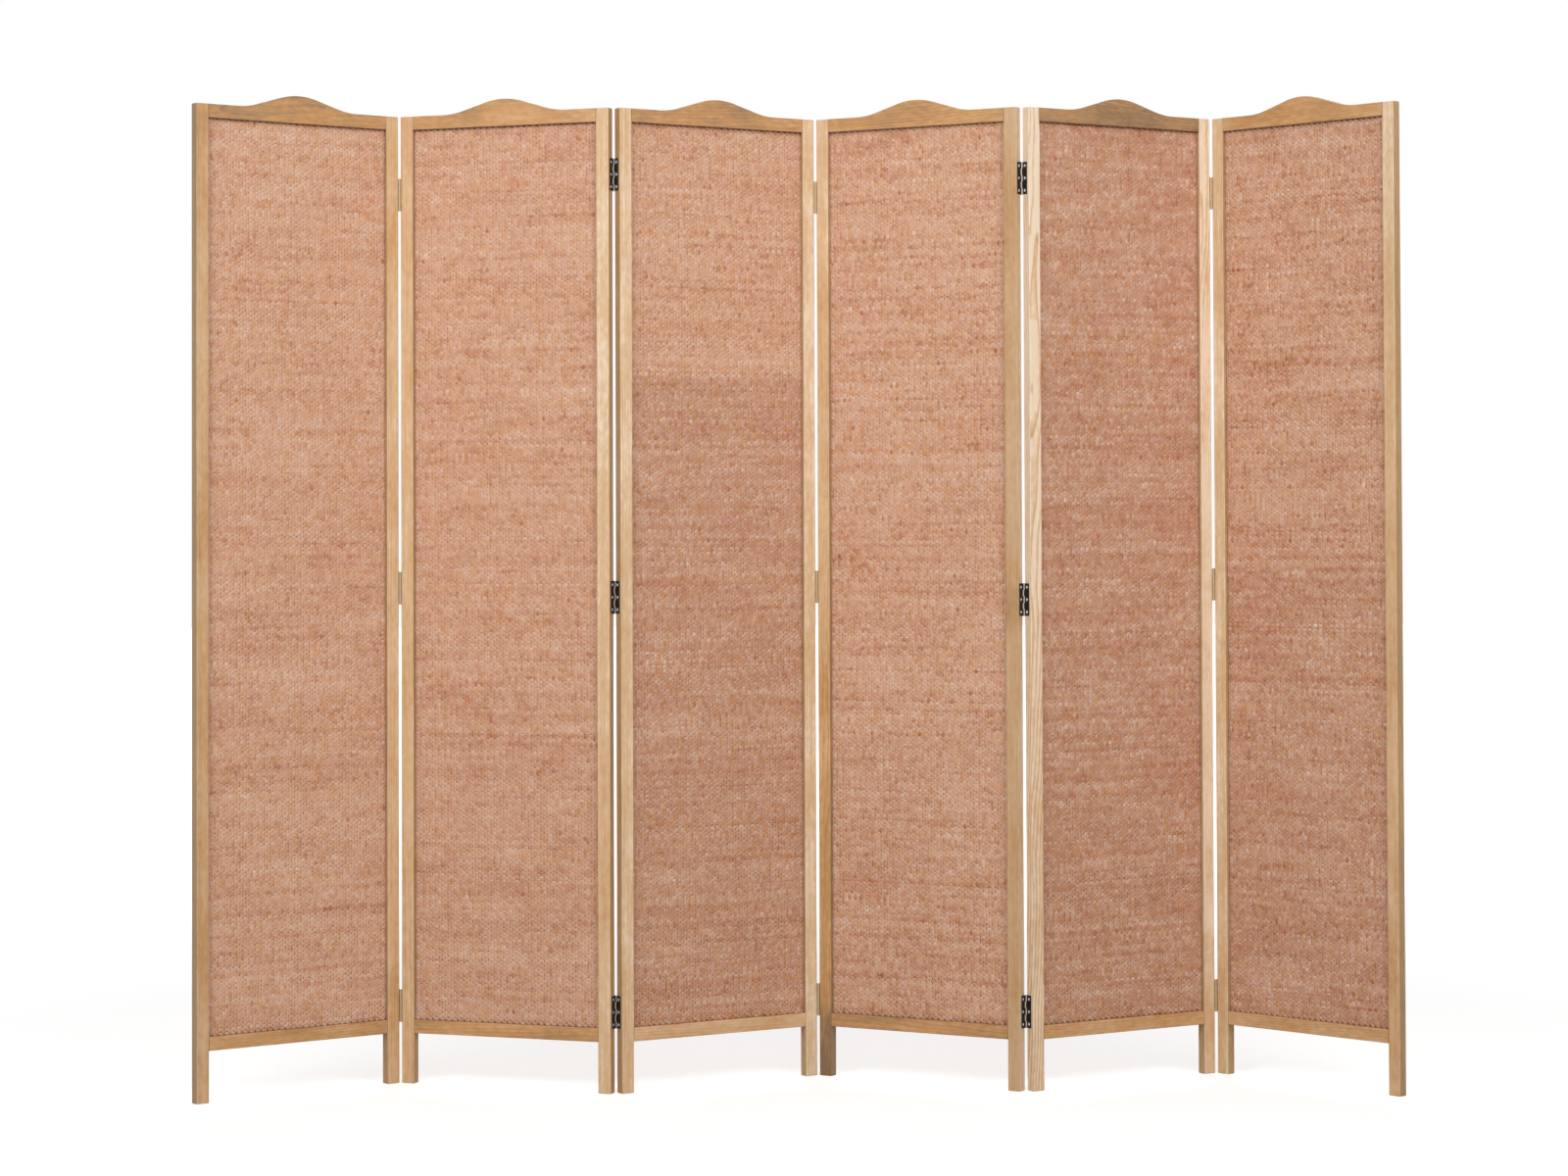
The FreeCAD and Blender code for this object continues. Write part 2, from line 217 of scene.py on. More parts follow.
# What the layers of the fibre add to its share of rust, its brown or cream, and its rose or ochre
FIBRE_SHARES = {"cloud": 0.4, "patch": 0.4}
FIBRE_TINTS = {
    "bulge": 0.45,
    "mottle": 2.20,
    "column": 0.40,
    "row_draw": 0.52,
    "lines": 0.1,
    "dots": 0.4,
    "streak": 1.2,
    "patch": 0.8,
    "cloud": 0.9,
}
FIBRE_WARMTHS = {"warm": 1.15, "streak": 0.6, "cloud": 0.3}

# Tint where the layers add nothing, cream for each brown that is missing, and the drift from panel to panel
USUAL_TINT = -0.05
CREAM_SHARE = -0.8
PANEL_DRIFT = 17.3
WARM_DRIFT = 5

# Fine lines and dots of the fibre: features to the metre along and across a strand, and to the row
LINE_SCALES = (240, 400, 3.1)
DOT_SCALES = (260, 200, 2.3)
DOT_RAMP = (0.62, 0.76)

# Height over which an insert changes colour, metres from the rail where the painted shade in its dark holes
# ends, and the share of that painted shade
BORDER_SOFTNESS = 0.002
PAINTED_HOLE_SHADE_RAMP = (0.0098, 0.0122)
PAINTED_HOLE_SHADE_SHARE = 0.90

# Relief of each material: strength, and height in metres
RELIEFS = {
    "wood": (0.28, 0.0004),
    "dowel": (0.2, 0.0002),
    "fibre": (0.5, 0.0004),
    "cord": (0.3, 0.0003),
    "bronze": (0.15, 0.0002),
    "bare_metal": (0.1, 0.0001),
}

# Bronze: ramp of the rubbed patches, metres from mid depth to the knuckles and to those of the back, and
# what the noise adds to the roughness
WORN_RAMP = (0.54, 0.74)
KNUCKLE_RAMP = (0.0086, 0.0094)
BACK_RAMP = (0.0080, 0.0086)
BRONZE_ROUGHNESS = {"patches": 0.14, "grit": 0.06}

# Sides of a strand's section and of an upright cord: few, because there are thousands of crossings
STRAND_SIDES = 4
CORD_SIDES = 6

# How rows and crossings leave their line: noise features to the crossing and to the row
SWAY_SCALES = (3.7, 0.05)
WAVE_SCALES = (0.11, 0.07)
CROWD_SCALES = (0.03, 0.3)

# Shares of the weave's wander and unevenness that its single effects take
SLIP_SHARE = 0.65
ROW_WANDER_SHARE = 0.3
CROSSING_WANDER_SHARE = 0.3
DEPTH_UNEVENNESS_SHARE = 0.5
ROW_UNEVENNESS_SHARE = 0.7
LEAST_HEIGHT_SHARE = 0.76

# Rows beside a rail that wander less
CALM_ROWS = 5


def screen_colour(red, green, blue):
    """A colour given as it shows on a screen, from 0 to 255, as the linear numbers that a shader wants."""
    levels = []
    for value in (red, green, blue):
        share = value / 255
        levels.append(share / 12.92 if share <= 0.04045 else ((share + 0.055) / 1.055) ** 2.4)
    return tuple(levels)


def colour_property(name, description, default):
    """One colour in the sidebar."""
    return FloatVectorProperty(
        name=name, description=description, size=3, subtype="COLOR", min=0, max=1, default=default
    )


def number_property(name, description, default):
    """One number in the sidebar."""
    return FloatProperty(name=name, description=description, precision=4, default=default)


def angle_property(name, description, degrees):
    """One angle in the sidebar, given in degrees."""
    return FloatProperty(name=name, description=description, subtype="ANGLE", default=math.radians(degrees))


def length_property(name, description, default):
    """One length in the sidebar, in metres."""
    return FloatProperty(name=name, description=description, unit="LENGTH", precision=5, default=default)


def place_property(name, description, default):
    """One place or way in the sidebar, in metres."""
    return FloatVectorProperty(name=name, description=description, subtype="XYZ_LENGTH", default=default)


class WeaveSizes(bpy.types.PropertyGroup):
    """Sizes of the woven inserts."""

    upright_pitch: length_property("Upright pitch", "From one upright cord to the next", 0.00595)
    row_pitch: length_property("Row pitch", "From one woven row to the next", 0.003845)
    hidden_ends: length_property("Hidden ends", "Empty strip beyond the ends of the rows", 0.0024)
    edge_rows: length_property("Edge rows", "From the insert's edge to its first row", 0.0060)
    wave_depth: length_property("Wave depth", "How far a strand swings to the front and back", 0.0005)
    strand_thickness: length_property("Strand thickness", "Thickness of a strand, front to back", 0.0011)
    strand_height: length_property("Strand height", "Height of a strand where it crosses an upright", 0.0072)
    upright_thickness: length_property("Upright thickness", "Diameter of an upright cord", 0.0012)
    wander: length_property("Wander", "How far rows and crossings leave their line", 0.0016)
    unevenness: number_property("Unevenness", "How uneven the strands are", 0.34)
    seed: IntProperty(name="Seed", description="Start of the random numbers", default=11)


class FabricColours(bpy.types.PropertyGroup):
    """Colours of the woven fibre."""

    peach: colour_property("Peach", "Fibre of the lighter inserts", screen_colour(204, 160, 130))
    rust: colour_property("Rust", "Fibre of the darker inserts", screen_colour(181, 137, 110))
    brown: colour_property("Brown", "Dark strands", screen_colour(159, 91, 53))
    cream: colour_property("Cream", "Light strands", screen_colour(220, 195, 178))
    rose: colour_property("Rose", "Pinkish strands", screen_colour(204, 155, 137))
    ochre: colour_property("Ochre", "Yellowish strands", screen_colour(200, 143, 97))
    # Shade: painted shade, the colour given to the sunken places beside the rails
    shade: colour_property("Shade", "Dark holes beside the rails", screen_colour(92, 52, 40))
    # Upright: darker than the strands, as painted shade of the recess the cords sit in
    upright: colour_property("Upright", "Upright cords", screen_colour(142, 92, 70))


class WoodColours(bpy.types.PropertyGroup):
    """Colours of the wood, from pale to dark."""

    sapwood: colour_property("Sapwood", "Palest wood", screen_colour(232, 210, 184))
    straw: colour_property("Straw", "Pale wood", screen_colour(214, 181, 142))
    honey: colour_property("Honey", "Middle wood", screen_colour(204, 164, 121))
    amber: colour_property("Amber", "Warm wood", screen_colour(190, 140, 87))
    umber: colour_property("Umber", "Dark wood", screen_colour(158, 122, 84))
    chestnut: colour_property("Chestnut", "Darkest wood", screen_colour(128, 98, 66))
    # Olive: painted shade on the narrow sides of the stiles, and a dull tone on the fronts of some
    olive: colour_property("Olive", "Narrow sides of the stiles", screen_colour(160, 134, 100))


class MetalColours(bpy.types.PropertyGroup):
    """Colours of the hinges and screws."""

    bronze: colour_property("Bronze", "Lacquer of the leaves", screen_colour(62, 54, 48))
    worn_bronze: colour_property("Worn bronze", "Rubbed places of the leaves", screen_colour(112, 98, 86))
    # Painted reflection: the pale knuckle colours stand for the white surroundings mirrored in the knuckles
    # and pins, palest on the back
    painted_knuckle_reflection: colour_property("Knuckle", "Rubbed knuckles and pins", screen_colour(178, 154, 124))
    painted_back_reflection: colour_property("Bright knuckle", "Knuckles on the back", screen_colour(236, 214, 196))
    # Painted highlight: the near-white blue of the screw heads stands for the glint of zinc, on a surface
    # with little metal
    zinc: colour_property("Zinc", "Screw heads", screen_colour(226, 240, 255))


class StudioSizes(bpy.types.PropertyGroup):
    """Camera, lights and floor."""

    camera_place: place_property("Camera place", "Where the camera stands", (-0.0149, -6.6283, 0.9784))
    camera_tilt: angle_property("Camera tilt", "Upward tilt", 1.256)
    camera_roll: angle_property("Camera roll", "Turn about the view line", -0.211)
    camera_yaw: angle_property("Camera yaw", "Turn to the left", 0.084)
    lens: number_property("Lens", "Focal length in millimetres, for a sensor 36 mm wide", 87.283)
    shift: number_property("Shift", "Upward shift of the frame", -0.0938)
    view_distance: length_property("View distance", "How far the camera sees", 100.0)
    key_power: FloatProperty(name="Key light", description="Each front light", unit="POWER", default=136.0)
    key_aside: length_property("Key light aside", "From the middle to each front light", 2.4)
    key_distance: length_property("Key light distance", "How far the lights stand off", 4.1)
    key_height: length_property("Key light height", "How high the lights hang", 3.5)
    key_width: length_property("Key light width", "Width of a front light", 2.6)
    key_depth: length_property("Key light depth", "Other side of a front light", 1.8)
    aim_height: length_property("Aim height", "Height at which the front lights aim", 0.95)
    back_level: number_property("Back light", "Strength of the wide light from behind", 1.6)
    back_way: place_property("Way of the back light", "From the light to what it lights", (0, -4.1, -2.8))
    back_spread: angle_property("Back light spread", "Angle of the wide light", 25)
    ambient: number_property("Ambient", "Strength of the even light", 0.27)
    floor_half: length_property("Floor", "Half the width of the floor", 30.0)
    floor_grey: number_property("Floor grey", "Level of the floor's own colour", 0.55)
    floor_glow: number_property("Floor glow", "White added to the floor near the screen, as seen", 0.58)
    white_from: length_property("White from", "Where the floor begins to turn to full white", 1.6)
    white_to: length_property("White to", "Distance at which the floor is full white", 4.4)


def math_method(operation):
    """A method that adds a Math node, for one operator of Python."""
    return lambda self, other: self.nodes.math(operation, self, other)


class Value:
    """A node socket in a Python expression."""

    def __init__(self, nodes, socket):
        self.nodes = nodes
        self.socket = socket

    def __rsub__(self, other):
        return self.nodes.math("SUBTRACT", other, self)

    __add__ = math_method("ADD")
    __radd__ = math_method("ADD")
    __sub__ = math_method("SUBTRACT")
    __mul__ = math_method("MULTIPLY")
    __rmul__ = math_method("MULTIPLY")
    __truediv__ = math_method("DIVIDE")
    __pow__ = math_method("POWER")
    __mod__ = math_method("MODULO")


class Nodes:
    """Adds nodes to one tree."""

    def __init__(self, tree):
        self.tree = tree

    def add(self, kind, settings=None, sockets=None):
        """Add one node: its settings first, then the values or links of its sockets."""
        node = self.tree.nodes.new(kind)
        for name, value in (settings or {}).items():
            if name == "stops":
                self.set_stops(node.color_ramp, value)
            else:
                setattr(node, name, value)
        for key, value in (sockets or {}).items():
            if isinstance(value, Value):
                self.tree.links.new(value.socket, node.inputs[key])
            else:
                node.inputs[key].default_value = value
        return node

    def get(self, output, kind, settings=None, sockets=None):
        """Add one node and return one of its outputs, by name or number."""
        return Value(self, self.add(kind, settings, sockets).outputs[output])

    def set_stops(self, ramp, stops):
        """Give a colour ramp its (position, colour) stops."""
        while len(ramp.elements) < len(stops):
            ramp.elements.new(1)
        for element, (position, colour) in zip(ramp.elements, stops):
            element.position = position
            element.color = (*colour, 1)

    def math(self, operation, *values):
        """One calculation with numbers or sockets."""
        return self.get(0, "ShaderNodeMath", {"operation": operation}, dict(enumerate(values)))

    def clamp(self, value):
        """A number kept from 0 to 1."""
        return self.get(0, "ShaderNodeClamp", None, {"Value": value})

    def vector(self, x, y, z):
        """A vector of three numbers."""
        return self.get(0, "ShaderNodeCombineXYZ", None, {"X": x, "Y": y, "Z": z})

    def split(self, vector):
        """The three numbers of a vector."""
        node = self.add("ShaderNodeSeparateXYZ", None, {0: vector})
        return [Value(self, output) for output in node.outputs]

    def noise(self, vector, scale, detail=2.0, roughness=0.5):
        """Noise from 0 to 1 around one half."""
        sockets = {"Vector": vector, "Scale": scale, "Detail": detail, "Roughness": roughness}
        return self.get(0, "ShaderNodeTexNoise", None, sockets)

    def white_noise(self, dimensions, socket, value):
        """A random number from -0.5 to 0.5 for each value."""
        settings = {"noise_dimensions": dimensions}
        return self.get("Value", "ShaderNodeTexWhiteNoise", settings, {socket: value}) - 0.5

    def mix(self, share, first, second):
        """Mix two colours."""
        return self.get(2, "ShaderNodeMix", {"data_type": "RGBA"}, {0: share, 6: first, 7: second})

    def brighten(self, colour, level):
        """A colour times a number."""
        return self.get(0, "ShaderNodeVectorMath", {"operation": "SCALE"}, {0: colour, "Scale": level})

    def step(self, value, low, high):
        """0 below low, 1 above high and a smooth ramp between."""
        sockets = {"Value": value, "From Min": low, "From Max": high}
        return self.get(0, "ShaderNodeMapRange", {"interpolation_type": "SMOOTHSTEP"}, sockets)

    def turn(self, vector, angle):
        """A vector turned about the upright axis."""
        settings = {"rotation_type": "Z_AXIS"}
        return self.get(0, "ShaderNodeVectorRotate", settings, {"Vector": vector, "Angle": angle})

    def bump(self, height, strength, distance):
        """The surface's direction where it follows small heights."""
        sockets = {"Strength": strength, "Distance": distance, "Height": height}
        return self.get("Normal", "ShaderNodeBump", None, sockets)

    def store(self, geometry, name, value):
        """Keep a number on the points of a geometry."""
        sockets = {0: geometry, "Name": name, "Value": value}
        return self.get(0, "GeometryNodeStoreNamedAttribute", None, sockets)

    def stored(self, name):
        """A number that was kept on the points."""
        return self.get(0, "GeometryNodeInputNamedAttribute", None, {"Name": name})

    def random_level(self, ident, seed):
        """A random number from -1 to 1 for each identity."""
        sockets = {2: -1.0, 3: 1.0, "ID": ident, "Seed": seed}
        return self.get(1, "FunctionNodeRandomValue", None, sockets)

    def attribute(self, name):
        """A number that the mesh carries, in a material."""
        return self.get("Fac", "ShaderNodeAttribute", {"attribute_name": name})


def weigh(layers, weights):
    """Sum of the layers named, each times its weight."""
    parts = [layers[name] * weight for name, weight in weights.items()]
    total = parts[0]
    for part in parts[1:]:
        total = total + part
    return total


def solid(colour):
    """A colour with its alpha, as a socket wants it."""
    return (*colour, 1)


def new_material(name):
    """An empty material and the means to fill it."""
    material = bpy.data.materials.new(name)
    material.use_nodes = True
    material.node_tree.nodes.clear()
    return material, Nodes(material.node_tree)


def new_object(name, data):
    """A new object in the scene."""
    piece = bpy.data.objects.new(name, data)
    bpy.context.scene.collection.objects.link(piece)
    return piece


def finish_surface(nodes, sockets):
    """Add the shader and the output of a material."""
    shader = nodes.get("BSDF", "ShaderNodeBsdfPrincipled", None, sockets)
    nodes.add("ShaderNodeOutputMaterial", None, {"Surface": shader})


def insert_place(number):
    """Lower left corner of a woven insert at mid depth, its turn, its length and its height."""
    mesh = frame["nodes"][f"panel_{number}_woven_insert"].data
    plan = sorted({(round(v.co.x, 6), round(v.co.y, 6)) for v in mesh.vertices})
    if len(plan) != 4:
        raise RuntimeError(f"the woven insert of panel {number} isn't a plain slab")
    low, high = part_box(f"panel_{number}_woven_insert")
    left = Vector(((plan[0][0] + plan[1][0]) / 2, (plan[0][1] + plan[1][1]) / 2, low.z))
    right = Vector(((plan[2][0] + plan[3][0]) / 2, (plan[2][1] + plan[3][1]) / 2, low.z))
    run = right - left
    return left, math.atan2(run.y, run.x), run.length, high.z - low.z


def panel_coordinates(nodes, number):
    """Object coordinates turned into one panel's own: along it, into its depth, and up."""
    corner, turn, _, _ = insert_place(number)
    place = nodes.get("Object", "ShaderNodeTexCoord")
    centre = (corner.x, corner.y, 0)
    offset = nodes.get(0, "ShaderNodeVectorMath", {"operation": "SUBTRACT"}, {0: place, 1: centre})
    return nodes.split(nodes.turn(offset, -turn))


def growth_rings(nodes, draw, place, span, middle, flat_share):
    """Late wood of the growth rings, from 0 to 1, and the drift of this piece's noise.

    The pith of the tree lies beside the piece if it is quarter-sawn, and behind it if flat-sawn.
    """
    across, depth, grain = place
    side = draw.choice((-1, 1))
    pith_away = draw.uniform(*PITH_DISTANCES) * (1 - flat_share * FLAT_PITH_SHARE)
    angle = flat_share * FLAT_PITH_ANGLE
    pith_across = middle + side * pith_away * math.cos(angle)
    pith_depth = pith_away * math.sin(angle)
    lean = draw.uniform(*RING_LEANS) * (1 + flat_share * FLAT_LEAN) * draw.choice((-1, 1))
    ring_width = draw.uniform(*RING_WIDTHS)
    drift = draw.uniform(*DRIFTS)

    wave_place = nodes.vector(across * WAVES_ACROSS, depth * WAVES_ACROSS, grain * WAVES_ALONG + drift)
    wave = nodes.noise(wave_place, 1.0, 2.0) - 0.5
    away_across = across - pith_across + (grain - span) * lean + wave * WAVE_REACH
    away_depth = depth - pith_depth + wave * (WAVE_DEPTH + flat_share * FLAT_WAVE)
    radius = nodes.math("SQRT", away_across * away_across + away_depth * away_depth)
    ring = nodes.math("FRACT", radius / ring_width)
    return ring**3 * (1 - nodes.step(ring, *RING_END)), drift


def wood_layers(nodes, place, drift):
    """The noise layers of one piece, from -0.5 to 0.5, and its pores, from 0 to 1."""
    across, depth, grain = place
    layers = {}
    for name, (across_scale, grain_scale, detail) in WOOD_LAYERS.items():
        point = nodes.vector(across * across_scale, depth * across_scale, grain * grain_scale + drift)
        layers[name] = nodes.noise(point, 1.0, detail) - 0.5
    layers["pores"] = nodes.step(layers["pores"], *PORE_RAMP)
    return layers


def wood_material(name, seed):
    """Pale wood with growth rings, fibres and pores, its grain along the piece."""
    colours = bpy.context.scene.wood_colours
    start_tone, end_tone, ring_strength, flat_share = TIMBER[name]
    number = int(name.split("_")[1])
    material, nodes = new_material(name)
    along, depth, height = panel_coordinates(nodes, number)
    is_stile = name.endswith("stile")
    _, turn, length, _ = insert_place(number)
    if is_stile:
        place, span = (along, depth, height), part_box(name)[1].z
        middle = STILE_MIDDLE + (length if "right" in name else 0)
    else:
        place, span = (height, depth, along), length
        middle = RAIL_MIDDLES[name.split("_")[2]]
    late_wood, drift = growth_rings(nodes, random.Random(seed), place, span, middle, flat_share)
    layers = wood_layers(nodes, place, drift)
    layers["late_wood"] = late_wood

    facing = nodes.turn(nodes.get("Normal", "ShaderNodeTexCoord"), -turn)
    facing_along, _, facing_up = nodes.split(facing)
    aside = nodes.math("ABSOLUTE", facing_along if is_stile else facing_up)
    # Painted shade: faces that look aside are toned darker and olive, or lighter on the stiles listed
    painted_side_mask = nodes.step(aside, *PAINTED_SIDE_RAMP)
    painted_side_tone = PAINTED_LIGHTER_SIDES.get(name, PAINTED_SIDE_SHADE)

    tone = start_tone + (end_tone - start_tone) * nodes.clamp(place[2] / span)
    stripe_share = (1 - flat_share * FLAT_STRIPE_SHARE) * (1 if is_stile else RAIL_STRIPE_SHARE)
    tone = tone + weigh(layers, WOOD_TONES) + weigh(layers, WOOD_STRIPES) * stripe_share
    tone = tone + (late_wood - USUAL_LATE_WOOD) * (RING_TONE * ring_strength) + painted_side_mask * painted_side_tone
    if name in DARK_LENGTHS:
        start, end, added = DARK_LENGTHS[name]
        from_start = nodes.step(height, start - DARK_SOFTNESS, start + DARK_SOFTNESS)
        past_end = nodes.step(height, end - DARK_SOFTNESS, end + DARK_SOFTNESS)
        tone = tone + from_start * (1 - past_end) * added
    last = len(WOOD_SCALE) - 1
    stops = [(order / last, getattr(colours, tint)) for order, tint in enumerate(WOOD_SCALE)]
    colour = nodes.get("Color", "ShaderNodeValToRGB", {"stops": stops}, {"Fac": tone / last})

    level = 1 + weigh(layers, WOOD_LEVELS)
    if is_stile:
        olive_share = painted_side_mask * (PAINTED_SIDE_OLIVE if painted_side_tone > 0 else 0) + DULL_FRONTS.get(name, 0)
        colour = nodes.mix(nodes.clamp(olive_share), colour, solid(colours.olive))
        end_grain = nodes.step(nodes.math("ABSOLUTE", facing_up), *UPWARD_RAMP)
        level = level - end_grain * END_GRAIN_SHADE
    else:
        to_stile = nodes.math("MINIMUM", along, length - along) - JOINT_PLACE
        level = level - (1 - nodes.step(to_stile, *JOINT_RAMP)) * JOINT_SHADE
    usual_roughness = 0.56
    sockets = {
        "Base Color": nodes.brighten(colour, level),
        "Roughness": usual_roughness + weigh(layers, WOOD_ROUGHNESS),
        "Normal": nodes.bump(weigh(layers, WOOD_RELIEF), *RELIEFS["wood"]),
        "IOR": 1.45,
    }
    finish_surface(nodes, sockets)
    return material


def dowel_material():
    """Bare pale dowel wood with fine lines along the dowel."""
    colours = bpy.context.scene.wood_colours
    material, nodes = new_material("dowel_beech")
    speckles_to_metre = 700.0
    usual_roughness = 0.7
    speckle_roughness = 0.1
    speckle = nodes.noise(nodes.get("Object", "ShaderNodeTexCoord"), speckles_to_metre, 2.0)
    colour = nodes.mix(speckle, solid(colours.straw), solid(colours.honey))
    roughness = usual_roughness + speckle * speckle_roughness
    bump = nodes.bump(speckle, *RELIEFS["dowel"])
    finish_surface(nodes, {"Base Color": colour, "Roughness": roughness, "Normal": bump})
    return material


def fibre_layers(nodes, along, across, row, drift):
    """The noise layers of the fibre, from -0.5 to 0.5, and its dots, from 0 to 1."""
    layers = {}
    for name, (along_scale, row_scale, own_drift, detail) in FIBRE_LAYERS.items():
        place = nodes.vector(along * along_scale, row * row_scale, drift + own_drift)
        layers[name] = nodes.noise(place, 1.0, detail) - 0.5

    # Numbers that are the same all over a row, or all over a crossing
    crossing = nodes.math("ROUND", along / bpy.context.scene.weave_sizes.upright_pitch)
    layers["row_draw"] = nodes.white_noise("1D", "W", row + drift)
    layers["bulge"] = nodes.white_noise("3D", "Vector", nodes.vector(crossing, row, drift))
    layers["warm"] = nodes.white_noise("3D", "Vector", nodes.vector(crossing, row, drift + WARM_DRIFT))

    # Fine lines and dark dots on the strands
    lines, dots = [
        nodes.noise(nodes.vector(along * x, across * y, row * z + drift), 1.0, detail)
        for (x, y, z), detail in ((LINE_SCALES, 2.0), (DOT_SCALES, 0.0))
    ]
    layers["lines"] = lines - 0.5
    layers["dots"] = nodes.step(dots, *DOT_RAMP)
    return layers


def fibre_material(number):
    """Matt twisted fibre: rows that differ, long soft streaks and fine lines along the strands."""
    colours = bpy.context.scene.fabric_colours
    material, nodes = new_material(f"panel_{number}_fibre")
    along, across, row, sunken = [nodes.attribute(name) for name in (ALONG, ACROSS, ROW, SUNKEN)]
    sunken = nodes.clamp(sunken)
    _, _, height = panel_coordinates(nodes, number)
    layers = fibre_layers(nodes, along, across, row, number * PANEL_DRIFT)

    below, above, border, strength = FABRIC_TONES[number]
    share = below + (above - below) * nodes.step(height, border - BORDER_SOFTNESS, border + BORDER_SOFTNESS)
    share = nodes.clamp(share + weigh(layers, FIBRE_SHARES))
    colour = nodes.mix(share, solid(colours.peach), solid(colours.rust))
    tint = (weigh(layers, FIBRE_TINTS) + USUAL_TINT) * strength
    colour = nodes.mix(nodes.clamp(tint), colour, solid(colours.brown))
    colour = nodes.mix(nodes.clamp(tint * CREAM_SHARE), colour, solid(colours.cream))
    warmth = weigh(layers, FIBRE_WARMTHS)
    colour = nodes.mix(nodes.clamp(warmth), colour, solid(colours.rose))
    colour = nodes.mix(nodes.clamp(0 - warmth), colour, solid(colours.ochre))

    # Painted shade: beside the rails the sunken places are painted dark, standing for the shade in the holes
    # there
    low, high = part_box(f"panel_{number}_woven_insert")
    from_edge = nodes.math("MINIMUM", height - low.z, high.z - height)
    painted_hole_shade = sunken * (1 - nodes.step(from_edge, *PAINTED_HOLE_SHADE_RAMP))
    colour = nodes.mix(painted_hole_shade * PAINTED_HOLE_SHADE_SHARE, colour, solid(colours.shade))

    lines = layers["lines"]
    line_level = 0.1
    # Painted light: the sunken sides are lifted a little to offset their shade
    painted_recess_light = 0.05
    usual_roughness = 0.74
    line_roughness = 0.15
    sockets = {
        "Base Color": nodes.brighten(colour, 1 + lines * line_level + sunken * painted_recess_light),
        "Roughness": usual_roughness + lines * line_roughness,
        "Normal": nodes.bump(lines, *RELIEFS["fibre"]),
        "IOR": 1.4,
    }
    finish_surface(nodes, sockets)
    return material


def upright_material():
    """Cord of the uprights inside the weave, painted dark as the shade it sits in."""
    colours = bpy.context.scene.fabric_colours
    material, nodes = new_material("upright_cord")
    twists_to_metre = 900.0
    least_level = 0.75
    twist_level = 0.5
    usual_roughness = 0.85
    twist_roughness = 0.1
    twist = nodes.noise(nodes.get("Object", "ShaderNodeTexCoord"), twists_to_metre, 1.0)
    colour = nodes.brighten(colours.upright, least_level + twist * twist_level)
    roughness = usual_roughness - twist * twist_roughness
    bump = nodes.bump(twist, *RELIEFS["cord"])
    finish_surface(nodes, {"Base Color": colour, "Roughness": roughness, "Normal": bump})
    return material


def bronze_material(number):
    """Dark bronze lacquer on the leaves of one panel, with a pale painted reflection on their knuckles."""
    colours = bpy.context.scene.metal_colours
    material, nodes = new_material(f"panel_{number}_bronze_lacquer")
    place = nodes.get("Object", "ShaderNodeTexCoord")
    patches_to_metre = 240.0
    grit_to_metre = 2600.0
    patches = nodes.noise(place, patches_to_metre, 4.0, 0.6)
    grit = nodes.noise(place, grit_to_metre, 2.0)
    worn_share = 0.4
    grit_share = 0.12
    rubbed = nodes.step(patches, *WORN_RAMP) * worn_share + grit * grit_share
    colour = nodes.mix(rubbed, solid(colours.bronze), solid(colours.worn_bronze))

    # The knuckles stand out beyond the faces of the stiles; a pale painted reflection of the white
    # surroundings goes on them, paler still on the back
    _, depth, _ = panel_coordinates(nodes, number)
    least_reflection = 0.72
    reflection_patches = 0.4
    beyond_face = nodes.step(nodes.math("ABSOLUTE", depth), *KNUCKLE_RAMP)
    back_reflection_mask = nodes.step(depth, *BACK_RAMP)
    painted_reflection_colour = nodes.mix(back_reflection_mask, solid(colours.painted_knuckle_reflection), solid(colours.painted_back_reflection))
    painted_knuckle_reflection = beyond_face * (least_reflection + patches * reflection_patches)
    colour = nodes.mix(nodes.clamp(painted_knuckle_reflection), colour, painted_reflection_colour)

    lacquer_metallic = 0.85
    # Less metal where the painted reflection lies, so that it shows as colour
    reflection_metal_loss = 0.35
    usual_roughness = 0.40
    sockets = {
        "Base Color": colour,
        "Metallic": lacquer_metallic - beyond_face * reflection_metal_loss,
        "Roughness": usual_roughness + weigh({"patches": patches, "grit": grit}, BRONZE_ROUGHNESS),
        "Normal": nodes.bump(grit, *RELIEFS["bronze"]),
    }
    finish_surface(nodes, sockets)
    return material


def bare_metal_material(name, tint, scratch_scale, metallic):
    """Bright metal with fine scratches."""
    material, nodes = new_material(name)
    place = nodes.get("Object", "ShaderNodeTexCoord")
    flatness = 6
    squeeze = (1, 1, flatness)
    squeezed = nodes.get(0, "ShaderNodeVectorMath", {"operation": "MULTIPLY"}, {0: place, 1: squeeze})
    scratches = nodes.noise(squeezed, scratch_scale, 3.0)
    stains = nodes.noise(place, scratch_scale / flatness, 2.0)
    least_level = 0.82
    stain_level = 0.3
    least_roughness = 0.30
    scratch_roughness = 0.12
    sockets = {
        "Base Color": nodes.brighten(tint, least_level + stains * stain_level),
        "Metallic": metallic,
        "Roughness": least_roughness + scratches * scratch_roughness,
        "Normal": nodes.bump(scratches, *RELIEFS["bare_metal"]),
    }
    finish_surface(nodes, sockets)
    return material


def coat_node(name, material):
    """Give a CAD node its material in every slot."""
    piece = frame["nodes"][name]
    if not piece.material_slots:
        piece.data.materials.append(material)
    for place in piece.material_slots:
        place.material = material


